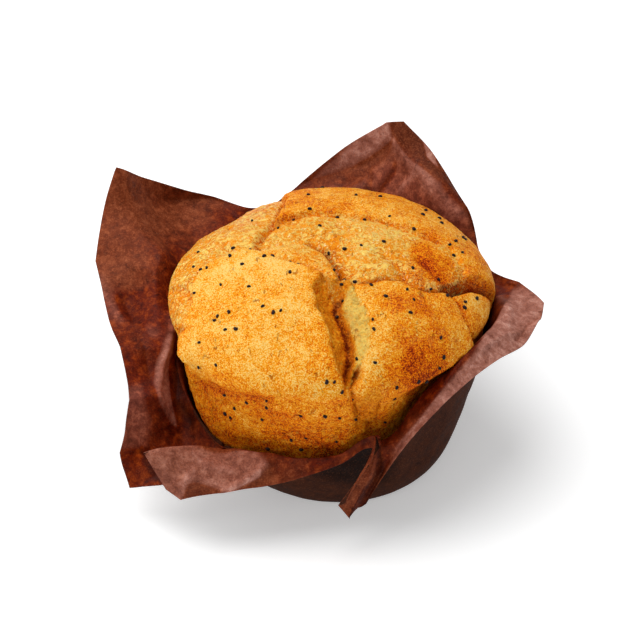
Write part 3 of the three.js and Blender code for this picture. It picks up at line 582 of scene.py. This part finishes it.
def paper_material():
    n = Nodes("greaseproof_paper")
    fibres = n.noise(0.40, 3, 0.7)
    mottle = n.noise(2.2, 5, 0.75, 0.3)
    broad = n.noise(12.0, 3, 0.6)
    outer = n.attribute("outer_face")
    tone = n.attribute("tone")  # painted sheen above zero, painted shade below
    dry = n.ramp(mottle, (0.30, 84, 32, 12), (0.50, 120, 54, 27), (0.70, 156, 84, 52))
    soaked = n.ramp(mottle, (0.32, 56, 6, 0), (0.50, 98, 24, 0), (0.68, 152, 60, 8))
    painted_sheen = n.ramp(mottle, (0.28, 122, 68, 54), (0.50, 172, 114, 98), (0.72, 220, 168, 152))
    wet = n.math("ADD", n.attribute("grease"), n.spread(broad, 0.35, 0.65, -0.2, 0.2), clamp=True)
    inside = n.mix(wet, dry, soaked)
    # Pinkish painted sheen where the tone is above zero.
    inside = n.mix(n.math("MAXIMUM", tone, 0.0), inside, painted_sheen)
    # The outer face is the same paper as the inner one, painted darker as shade.
    outside = n.ramp(mottle, (0.3, 38, 14, 6), (0.7, 74, 38, 22))
    colour = n.mix(outer, inside, outside)
    # Painted shade where the tone is below zero, near black on the outer face.
    dark = n.math("MULTIPLY", n.math("MINIMUM", tone, 0.0), -0.7)
    colour = n.mix(dark, colour, n.mix(outer, linear(40, 8, 2), linear(6, 1, 0)))
    matte = n.math("SUBTRACT", 1.0, n.math("MULTIPLY", n.math("MAXIMUM", outer, wet), 0.7))
    light_fibres = n.math("MULTIPLY", n.spread(fibres, 0.50, 0.72, 0.0, 0.32), matte)
    colour = n.mix(light_fibres, colour, linear(196, 116, 78))
    colour = n.mix(n.spread(fibres, 0.28, 0.48, 0.45, 0.0), colour, linear(58, 18, 6))
    rough = n.math("ADD", n.spread(mottle, 0.3, 0.7, 0.46, 0.60), n.math("MULTIPLY", outer, 0.3))
    normal = n.bump(n.noise(2.5, 4, 0.6), 0.25, 0.45)
    normal = n.bump(fibres, 0.12, 0.7, under=normal)
    n.set(Base_Color=colour, Roughness=rough, Normal=normal)
    n.set(Specular_IOR_Level=0.08)
    return n.material


def seed_material():
    n = Nodes("poppy_seed")
    tone = n.noise(0.8, 2)
    n.set(Base_Color=n.ramp(tone, (0.3, 14, 6, 6), (0.7, 44, 28, 30)))
    n.set(Roughness=n.spread(tone, 0.3, 0.7, 0.45, 0.7), Specular_IOR_Level=0.2)
    n.set(Normal=n.bump(n.noise(0.18, 2), 0.05, 0.6))
    return n.material


# ---------------- the cake
def ball(splits):
    """Points and triangles of an icosahedron whose faces are split into splits squared."""
    gold = (1 + math.sqrt(5)) / 2
    corners = np.array([
        (-1, gold, 0), (1, gold, 0), (-1, -gold, 0), (1, -gold, 0),
        (0, -1, gold), (0, 1, gold), (0, -1, -gold), (0, 1, -gold),
        (gold, 0, -1), (gold, 0, 1), (-gold, 0, -1), (-gold, 0, 1),
    ])
    sides = [
        (0, 11, 5), (0, 5, 1), (0, 1, 7), (0, 7, 10), (0, 10, 11),
        (1, 5, 9), (5, 11, 4), (11, 10, 2), (10, 7, 6), (7, 1, 8),
        (3, 9, 4), (3, 4, 2), (3, 2, 6), (3, 6, 8), (3, 8, 9),
        (4, 9, 5), (2, 4, 11), (6, 2, 10), (8, 6, 7), (9, 8, 1),
    ]
    rows = [(i, j) for i in range(splits + 1) for j in range(splits + 1 - i)]
    number = {row: k for k, row in enumerate(rows)}
    share = np.array([(splits - i - j, i, j) for i, j in rows]) / splits
    triangles = []
    for i in range(splits):
        for j in range(splits - i):
            triangles.append((number[i, j], number[i + 1, j], number[i, j + 1]))
            if j < splits - i - 1:
                triangles.append((number[i + 1, j], number[i + 1, j + 1], number[i, j + 1]))
    triangles = np.array(triangles)
    points = np.concatenate([share @ corners[list(side)] for side in sides])
    faces = np.concatenate([triangles + k * len(rows) for k in range(len(sides))])
    points /= np.linalg.norm(points, axis=1, keepdims=True)
    first, back = np.unique(
        np.round(points, 6), axis=0, return_index=True, return_inverse=True
    )[1:]
    return points[first], back.reshape(-1)[faces]


def smooth_outline(outline, steps=12):
    """The outline with curve points between its corners, and the distance travelled."""
    corners = [np.array(p, float) for p in outline]
    dense = []
    for k in range(len(corners) - 1):
        four = [corners[max(k - 1, 0)], corners[k], corners[k + 1]]
        four.append(corners[min(k + 2, len(corners) - 1)])
        dense += [curve_point(*four, s / steps, 0.5) for s in range(steps)]
    dense.append(corners[-1])
    dense = np.array(dense)
    travel = np.concatenate([[0], np.cumsum(np.hypot(*np.diff(dense, axis=0).T))])
    return dense, travel


cake_curve, cake_travel = smooth_outline(CAKE_OUTLINE)
TRAVEL_END = cake_travel[-1]
CAKE_SIDE = slice(60, 170)  # the curve's points beside the paper
# How the cake's mesh shares out its polar angle over the way from top to bottom.
POLAR_SHARES = [0, 0.55, 0.84, 1]
POLAR_TRAVEL = [0, 46, TRAVEL_END - 22, TRAVEL_END]


def on_outline(travel):
    """Radius and height of the cake's outline at each way from the top."""
    return np.array([np.interp(travel, cake_travel, line) for line in cake_curve.T])


def mix_of_plates(share, name):
    """One of the plates' numbers, mixed by each plate's share."""
    return sum(part * plate[name] for part, plate in zip(share, PLATES.values()))


def right_of_tear(x, y):
    """How far to the right of the tear's deepest line each place lies."""
    bottom_x = np.interp(-y, *zip(*[(-along, across) for across, along in TEAR_BOTTOM]))
    return x - bottom_x


def plate_relief(x, y, ragged):
    """Height of the crown's relief, each plate's share, way in from the tear's rim, and where
    painted shade darkens the cracks and creases.

    A plate stands its lift above the crown, and its rim falls by drop over about soft.
    """
    heights = []
    for plate in PLATES.values():
        edge = distance_to_outline(plate["outline"], x, y) + ragged
        fall = np.where(
            edge < 0,
            plate["drop"] * np.exp(np.minimum(edge, 0) / plate["soft"]),
            plate["drop"] + OUTSIDE_SLOPE * edge,
        )
        heights.append(plate["lift"] - fall)
    heights = np.array(heights)
    relief = np.maximum(heights.max(0), -CRACK_FLOOR)
    share = np.exp((heights - heights.max(0)) / PLATE_BLEND)
    share /= share.sum(0)
    relief = relief * (1 - smooth_step(*CRACK_FADE, np.hypot(x, y))) + spots(SWELLS, x, y)
    # lines marks where painted shade darkens the crust along the cracks and creases.
    lines = np.zeros(x.shape)
    for width, depth, line in CRACKS:
        away = np.abs(distance_to_line(line, x, y) + 0.3 * ragged)
        relief = relief - depth * np.clip(1 - away / width, 0, 1) ** 1.4
        lines = np.maximum(lines, min(depth / 3, 1) * np.exp(-(away / (0.8 * width)) ** 2))
    for width, depth, line in CREASES:
        away = distance_to_line(line, x, y) + 0.4 * ragged
        relief = relief - depth * np.exp(-(away / width) ** 2)
        lines = np.maximum(lines, min(depth / 2, 1) * np.exp(-(away / width) ** 2))
    from_rim = np.clip(-distance_to_outline(TEAR_RIM, x, y) - 0.8 * ragged, 0, None)
    from_bottom = distance_to_line(TEAR_BOTTOM, x, y)
    # The left wall is steepest at its rim, and the right one at the bottom.
    steepness = 0.8 + 1.4 * smooth_step(-0.5, 1.0, right_of_tear(x, y))
    down = (from_rim / (from_rim + from_bottom + 0.01)) ** steepness
    inside = smooth_step(0, 0.8, from_rim)
    relief = relief + (np.maximum(relief, TEAR_LIP) - relief) * inside
    relief = relief - TEAR_DEPTH * down * smooth_step(0, 2.2, from_rim + from_bottom)
    return relief, share, from_rim, lines


def side_bulge(bearing, height):
    """How far the side stands out beyond its round outline, for a bearing in degrees."""
    off = degrees_off(bearing, BULGE_BEARING)
    fade = smooth_step(*BULGE_RISE, height) * (1 - smooth_step(*BULGE_FALL, height))
    return BULGE * np.exp(-((off / BULGE_SPREAD) ** 2)) * fade


def side_dents(bearing, height):
    """How far the cake's side stands in, for a bearing in degrees."""
    total = 0
    for depth, middle, spread, rise, fall in DENTS:
        off = degrees_off(bearing, middle)
        fade = smooth_step(*rise, height) * (1 - smooth_step(*fall, height))
        total = total + depth * np.exp(-((off / spread) ** 2)) * fade
    return total


def cake_middle(height):
    """Where the leaning cake's axis is at each height."""
    return smooth_step(*CAKE_LEAN, height)[..., None] * LEAN


def cake_surface(directions):
    """Points of the cake for unit directions, with what its material needs to know."""
    polar = np.arccos(np.clip(directions[:, 2], -1, 1)) / math.pi
    bearing = np.arctan2(directions[:, 1], directions[:, 0])
    travel = np.interp(polar, POLAR_SHARES, POLAR_TRAVEL)
    radius, height = on_outline(travel)
    slope_r, slope_z = on_outline(travel + 1) - on_outline(travel - 1)
    slope = np.hypot(slope_r, slope_z)
    out_r, out_z = -slope_z / slope, slope_r / slope
    plain = np.stack([radius * np.cos(bearing), radius * np.sin(bearing), height], 1)

    ragged = 0.55 * wobble(plain, 3.0, 1) + 0.35 * wobble(plain, 1.2, 2)
    x, y = travel * np.cos(bearing), travel * np.sin(bearing)
    relief, share, from_rim, lines = plate_relief(x, y, ragged)

    # What each place is made of: the side that the paper held, the bottom, torn crumb or gloss.
    side = smooth_step(41, 53, travel + 3.5 * wobble(plain, 12, 15))
    side *= 1 - smooth_step(88, 94, travel)
    bottom = smooth_step(90, 95, travel)
    torn = smooth_step(0.0, 0.7, from_rim)
    (patch_x, patch_y), (half_x, half_y) = TORN_PATCH
    from_patch = np.hypot((x - patch_x) / half_x, (y - patch_y) / half_y) + 0.25 * ragged
    torn = np.maximum(torn, 0.8 * smooth_step(1.05, 0.8, from_patch))
    browned_and_shaded = spots(
        BROWNED_AND_SHADED, x + 3.0 * wobble(plain, 4.5, 16), y + 3.0 * wobble(plain, 4.5, 17)
    )
    gloss = mix_of_plates(share, "gloss") * (1 - side) * (1 - smooth_step(0.10, 0.28, browned_and_shaded))

    # The finer shape that lies on the relief.
    lumps = 0.35 * wobble(plain, 9, 3) + 0.22 * wobble(plain, 4, 4)
    grain = 0.10 * wobble(plain, 1.3, 5) + 0.05 * wobble(plain, 0.7, 6)
    pores = -0.45 * smooth_step(0.35, 0.0, cells(plain, 1.9, 7)) * (0.25 + 0.75 * side + torn)
    crumb = (0.30 * wobble(plain, 1.8, 8) + 0.2 * wobble(plain, 0.9, 9)) * (side + 1.8 * torn)
    crumb += 0.8 * wobble(plain, 3.0, 13) * torn
    flakes = 0.35 * np.abs(wobble(plain, 2.2, 10)) * gloss
    shape = relief + (lumps + grain + pores + crumb + flakes) * (1 - 0.8 * bottom)

    degrees = np.degrees(bearing)
    reach = radius + shape * out_r + side_bulge(degrees, height) - side_dents(degrees, height)
    lean = cake_middle(height)
    points = np.stack([
        reach * np.cos(bearing) + lean[:, 0],
        reach * np.sin(bearing) + lean[:, 1],
        height + shape * out_z,
    ], 1)

    # How brown it is, by plate, with painted shade darker in the gaps, along the cracks and
    # creases, on the tear's left and top walls and along its deepest line; the tear's right wall is
    # pale crumb.
    bake_and_shade = mix_of_plates(share, "bake_and_shade") * (1 - side)
    bake_and_shade += (0.56 + 0.1 * wobble(plain, 14, 11)) * side
    bake_and_shade += 0.20 * np.clip(-relief / 2.2 - 0.4, 0, 1) * (1 - torn) * (1 - side)
    bake_and_shade += 0.12 * wobble(plain, 11, 12) + browned_and_shaded
    bake_and_shade += 0.40 * lines * (1 - torn)
    # Painted shade on the tear's left and top walls, which face away from the light, and along its
    # deepest line.
    left_wall = smooth_step(0.3, -1.0, right_of_tear(x, y))
    shaded = np.maximum(left_wall, smooth_step(-17.5, -14.5, y))
    deepest = smooth_step(1.8, 0.3, distance_to_line(TEAR_BOTTOM, x, y))
    wall_bake_and_shade = 0.46 * shaded + 0.70 * deepest + 0.12 * wobble(plain, 2.5, 14)
    bake_and_shade += (wall_bake_and_shade - bake_and_shade) * smooth_step(0.0, 0.7, from_rim)
    return points, dict(bake_and_shade=np.clip(bake_and_shade, 0, 1), torn=torn, gloss=gloss, side=side)


def make_muffin():
    directions, faces = ball(CAKE_SPLITS)
    points, looks = cake_surface(directions)
    middle = points.mean(0)
    a, b, c = (points[faces[:, i]] - middle for i in range(3))
    if (np.cross(a, b) * c).sum() < 0:
        faces = faces[:, ::-1]
    piece = mesh_object("muffin_crust", points, faces, crust_material())
    for name, values in looks.items():
        add_attribute(piece, name, values)
    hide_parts("muffin")
    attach(piece, "root")
    return points, faces


def seed_shape():
    """One poppy seed about the origin: a dented, slightly flattened bean one long."""
    points, faces = ball(5)
    dent = 0.25 * np.exp(-((points[:, 0] / 0.5) ** 2 + ((points[:, 1] - 1) / 0.6) ** 2))
    points = points * np.array([0.5, 0.40, 0.36])
    points[:, 1] -= dent * 0.5
    return points, faces


def make_seeds():
    """Poppy seeds pressed into the crust, all one piece."""
    places = [np.array(place, float) for place in SEEDS]
    while len(places) < len(SEEDS) + HIDDEN_SEEDS:
        reach = draw.uniform(8, 72)
        turn = draw.uniform(-math.pi, math.pi)
        place = reach * np.array([math.cos(turn), math.sin(turn)])
        at_back = place[1] >= 33
        on_far_side = reach > 48 and abs(turn + math.pi / 2) > 1.5
        if at_back or on_far_side:
            places.append(place)
    shape, shape_faces = seed_shape()
    all_points, all_faces = [], []
    probe = 0.3  # how far to step on the map to find the slope under a seed
    for place in places:
        around = np.array([place, place + (probe, 0), place + (0, probe)])
        travel = np.hypot(*around.T)
        polar = np.interp(travel, POLAR_TRAVEL, POLAR_SHARES)
        directions = np.stack([
            np.sin(polar * math.pi) * around[:, 0] / travel,
            np.sin(polar * math.pi) * around[:, 1] / travel,
            np.cos(polar * math.pi),
        ], 1)
        spot, right, back = cake_surface(directions)[0]
        up = np.cross(right - spot, back - spot)
        up /= np.linalg.norm(up)
        turn = draw.uniform(0, 2 * math.pi)
        along = math.cos(turn) * (right - spot) + math.sin(turn) * (back - spot)
        along -= up * (along @ up)
        along /= np.linalg.norm(along)
        size = SEED_LENGTH * draw.uniform(0.8, 1.15)
        frame_of_seed = np.stack([along, np.cross(up, along), up])
        start = sum(map(len, all_points))
        all_points.append(spot + SEED_PROUD * up + size * shape @ frame_of_seed)
        all_faces.append(shape_faces + start)
    piece = mesh_object(
        "poppy_seeds", np.concatenate(all_points), np.concatenate(all_faces),
        seed_material(),
    )
    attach(piece, "root")


# ---------------- the paper
def cake_radius(height):
    """Radius of the cake's side at a height."""
    radii, heights = cake_curve[CAKE_SIDE].T
    order = np.argsort(heights)
    return np.interp(height, heights[order], radii[order])


def clear_of_cake(points):
    """Pushes paper out until it clears the cake at its height."""
    height = points[..., 2]
    middle = cake_middle(height)
    offset = points[..., :2] - middle
    reach = np.linalg.norm(offset, axis=-1)
    bearing = np.degrees(np.arctan2(offset[..., 1], offset[..., 0]))
    least = cake_radius(height) + side_bulge(bearing, height) - side_dents(bearing, height)
    least = least + CAKE_GAP
    inside = (height > 4) & (height < 50) & (reach < least)
    scale = np.where(inside, least / np.maximum(reach, 1), 1.0)
    pushed = points.copy()
    pushed[..., :2] = middle + offset * scale[..., None]
    return pushed


def rib_points(bearing, wall_height, next_height, *outer):
    """A rib's points from the foot, up the cup's wall and out to the sheet's edge."""
    turn = math.radians(bearing)
    flat = list(CUP_OUTLINE)
    for z in (wall_height, next_height):
        flat.append((np.interp(z, WALL_HEIGHTS, WALL_RADII), z))
    cup = []
    for radius, z in flat:
        reach = radius + side_bulge(bearing, z) - PAPER_FOLLOWS * max(side_dents(bearing, z), 0)
        lean = LEAN * smooth_step(*WALL_LEAN, z)
        cup.append((reach * math.cos(turn) + lean[0], reach * math.sin(turn) + lean[1], z))
    return cup + list(outer)


def paper_grid():
    """Paper points by ring, from the foot to the sheet's edge, then by bearing."""
    ribs = np.array([rib_points(*rib) for rib in RIBS], float)
    steps = np.arange(AROUND_STEPS)[:, None, None] / AROUND_STEPS
    lines = []
    sharp = [rib[0] in SHARP_RIBS for rib in RIBS]
    for i in range(len(ribs)):
        four = [ribs[(i + k) % len(ribs)][None] for k in (-1, 0, 1, 2)]
        corners = (sharp[i], sharp[(i + 1) % len(ribs)])
        lines.append(curve_point(*four, steps, corners=corners))
    lines = np.concatenate(lines)
    count = lines.shape[1]
    rings = []
    for k in range(count):
        pieces = CUP_STEPS if k < len(CUP_OUTLINE) - 1 else WALL_STEPS
        pieces = 1 if k == count - 1 else pieces
        before, here = lines[:, max(k - 1, 0)], lines[:, k]
        after = lines[:, min(k + 1, count - 1)]
        beyond = lines[:, min(k + 2, count - 1)]
        for s in range(pieces):
            rings.append(curve_point(before, here, after, beyond, s / pieces, RIB_TENSION))
    return clear_of_cake(np.array(rings))


def sheet_map(grid):
    """Where each paper point lies on the flat sheet, measured from the middle of the foot."""
    steps = np.linalg.norm(np.diff(grid, axis=0), axis=2)
    start = np.linalg.norm(grid[:1], axis=2)
    travel = np.concatenate([start, start + np.cumsum(steps, axis=0)])
    bearings = [rib[0] for rib in RIBS] + [RIBS[0][0] + 360]
    turn = np.interp(np.arange(grid.shape[1]) / AROUND_STEPS, range(len(bearings)), bearings)
    turn = np.radians(turn)
    return travel * np.cos(turn), travel * np.sin(turn)


def grid_faces(rings, around):
    """Triangles of a closed-round grid whose point 0 is the middle of the foot."""
    j = np.arange(around)
    after = (j + 1) % around
    faces = [np.stack([np.zeros_like(j), 1 + after, 1 + j], 1)]
    for k in range(rings - 1):
        a, b = 1 + k * around + j, 1 + k * around + after
        c, d = b + around, a + around
        faces += [np.stack([a, b, c], 1), np.stack([a, c, d], 1)]
    return np.concatenate(faces)


def fold_shapes(sheet_x, sheet_y):
    """How high the folds stand at each place of the sheet, with painted highlight on their crests
    and painted shade in their valleys.
    """
    folds, painted_fold_light = 0, 0
    for height, width, line in FOLDS:
        away = distance_to_line(line, sheet_x, sheet_y)
        folds = folds + height * np.exp(-away / width)
        # Painted highlight along a crest, painted shade along a valley.
        painted_fold_light = painted_fold_light + min(0.32 * height, 0.25) * np.exp(-((away / (0.45 * width)) ** 2))
    return folds, painted_fold_light


def paper_looks(inner, sheet_x, sheet_y, ring_of, painted_fold_light):
    """How greasy each place is, and the painted sheen and painted shade on its inner and outer
    faces.
    """
    reach = np.linalg.norm(inner[:, :2] - cake_middle(inner[:, 2]), axis=1)
    from_cake = reach - cake_radius(np.clip(inner[:, 2], 2, 45))
    ragged = 3 * wobble(inner, 7, 24) + 1.5 * wobble(inner, 2.5, 25)
    grease = 0.9 - 0.9 * smooth_step(1, 14, from_cake + ragged)
    for amount, soft, outline in STAINS:
        inside = -distance_to_outline(outline, sheet_x, sheet_y) + ragged
        grease = np.maximum(grease, amount * smooth_step(-soft, soft, inside))
    # Bearings run from 100 to 460 here, so that the right side's are in one piece.
    bearing = (np.degrees(np.arctan2(sheet_y, sheet_x)) - 100) % 360 + 100
    crest = CUP_RINGS + 3 * WALL_STEPS + 8 * smooth_step(*CREST_MOVES, bearing)
    # Painted sheen on the dry inner face outside the crest.
    painted_sheen = smooth_step(*SHEEN_FROM, bearing) * smooth_step(*SHEEN_TO, bearing)
    painted_sheen = painted_sheen * smooth_step(-3, 3, ring_of - crest)
    tone = 0.8 * painted_sheen * smooth_step(-70, -50, sheet_y)
    # Painted sheen on facets that face the light, painted shade on those that face away and in
    # pockets.
    for amount, soft, outline in PAINTED_SHEEN_AND_SHADE:
        inside = -distance_to_outline(outline, sheet_x, sheet_y) + 0.08 * ragged
        tone = tone + (amount - tone) * smooth_step(-soft, soft, inside)
    tone = tone + painted_fold_light
    grease = grease * (1 - np.clip(tone, 0, 1))
    # Painted shade on the outer face, darkest in the hollow beside the beak.
    outer_painted_shade = -1.25 * smooth_step(-4, 4, -distance_to_outline(BEAK_HOLLOW_SHADE, sheet_x, sheet_y))
    return grease, tone, outer_painted_shade


def make_paper():
    grid = paper_grid()
    rings, around = grid.shape[:2]
    points = np.concatenate([[[0, 0, 0]], grid.reshape(-1, 3)])
    faces = grid_faces(rings, around)
    ring_of = np.concatenate([[0], np.repeat(np.arange(rings), around)])
    sheet_x, sheet_y = (np.concatenate([[0], v.reshape(-1)]) for v in sheet_map(grid))
    folds, painted_fold_light = fold_shapes(sheet_x, sheet_y)
    # The petals are crumpled into flats and folds, and the cup's wall only waves a little.
    petal = smooth_step(CUP_RINGS + WALL_STEPS, CUP_RINGS + 2.4 * WALL_STEPS, ring_of)
    wall = smooth_step(CUP_RINGS - 2, CUP_RINGS + 6, ring_of) * (1 - petal)
    loose = np.linalg.norm(grid[-1] - grid[-1 - 2 * WALL_STEPS], axis=1)
    room = np.concatenate([[0], np.tile(np.clip(loose / LONG_RIB, 0.08, 1), rings)])
    facets = sum(height * (cells(points, size, seed) - 0.4) for height, size, seed in FACETS)
    bend = (facets * room - folds) * petal + 0.25 * wobble(points, 5, 23) * wall
    outer = points + vertex_normals(points, faces) * bend[:, None]
    outer[:, 2] = np.maximum(outer[:, 2], 0)
    inner = outer - vertex_normals(outer, faces) * SHEET
    total = len(points)
    edge = 1 + (rings - 1) * around + np.arange(around)
    after = np.roll(edge, -1)
    rim = np.concatenate([
        np.stack([edge, after, after + total], 1),
        np.stack([edge, after + total, edge + total], 1),
    ])
    all_faces = np.concatenate([faces, faces[:, ::-1] + total, rim])
    piece = mesh_object(
        "tulip_paper", np.concatenate([outer, inner]), all_faces, paper_material(),
    )
    grease, tone, outer_painted_shade = paper_looks(inner, sheet_x, sheet_y, ring_of, painted_fold_light)
    add_attribute(piece, "grease", np.concatenate([grease, grease]))
    add_attribute(piece, "tone", np.concatenate([outer_painted_shade, tone]))
    add_attribute(piece, "outer_face", np.concatenate([np.ones(total), np.zeros(total)]))
    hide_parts("baking_case")
    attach(piece, "root")


# ---------------- stage
def make_stage():
    n = Nodes("pale_floor")
    n.set(Base_Color=n.mix(n.noise(400, 2), (0.86, 0.86, 0.86, 1), (0.88, 0.88, 0.88, 1)))
    n.set(Roughness=0.9, Emission_Color=(1, 1, 1, 1), Emission_Strength=FLOOR_GLOW)
    mesh = bpy.data.meshes.new("floor")
    half = 2.5
    mesh.from_pydata(
        [(-half, -half, 0), (half, -half, 0), (half, half, 0), (-half, half, 0)], [], [(0, 1, 2, 3)]
    )
    mesh.materials.append(n.material)
    floor = bpy.data.objects.new("floor", mesh)
    scene.collection.objects.link(floor)


def aimed(name, data, place, aim):
    """Adds a lamp or a camera at a place, looking at the aim."""
    thing = bpy.data.objects.new(name, data)
    scene.collection.objects.link(thing)
    thing.location = place
    thing.rotation_mode = "QUATERNION"
    thing.rotation_quaternion = (Vector(aim) - Vector(place)).to_track_quat("-Z", "Y")
    return thing


def make_lights():
    for name, place, size, watts in (
        ("key", (-0.24, 0.12, 1.05), 1.0, 9.2),
        ("side", (-0.75, 0.05, 0.60), 0.7, 1.9),
        ("fill", (-0.30, -0.7, 0.60), 0.6, 0.8),
    ):
        data = bpy.data.lights.new(name, "AREA")
        data.shape = "DISK"
        data.size = size
        data.energy = watts
        aimed(name, data, place, (0, 0, 0.04))
    world = bpy.data.worlds.new("studio")
    world.use_nodes = True
    background = world.node_tree.nodes["Background"]
    background.inputs["Color"].default_value = (1, 1, 1, 1)
    background.inputs["Strength"].default_value = 0.33
    scene.world = world
    scene.view_settings.view_transform = "Standard"


def make_camera():
    """Looks down at the front from 38 degrees above the floor."""
    elevation = math.radians(38)
    distance = 0.65
    aim = Vector((-6.7, 1.3, 35.7)) * MM
    back = Vector((0, -math.cos(elevation), math.sin(elevation)))
    data = bpy.data.cameras.new("camera")
    data.lens = 155.0
    data.sensor_width = 36.0
    data.clip_start = 0.01
    scene.camera = aimed("camera", data, aim + back * distance, aim)


make_camera()
make_lights()
make_stage()
make_muffin()
make_seeds()
make_paper()
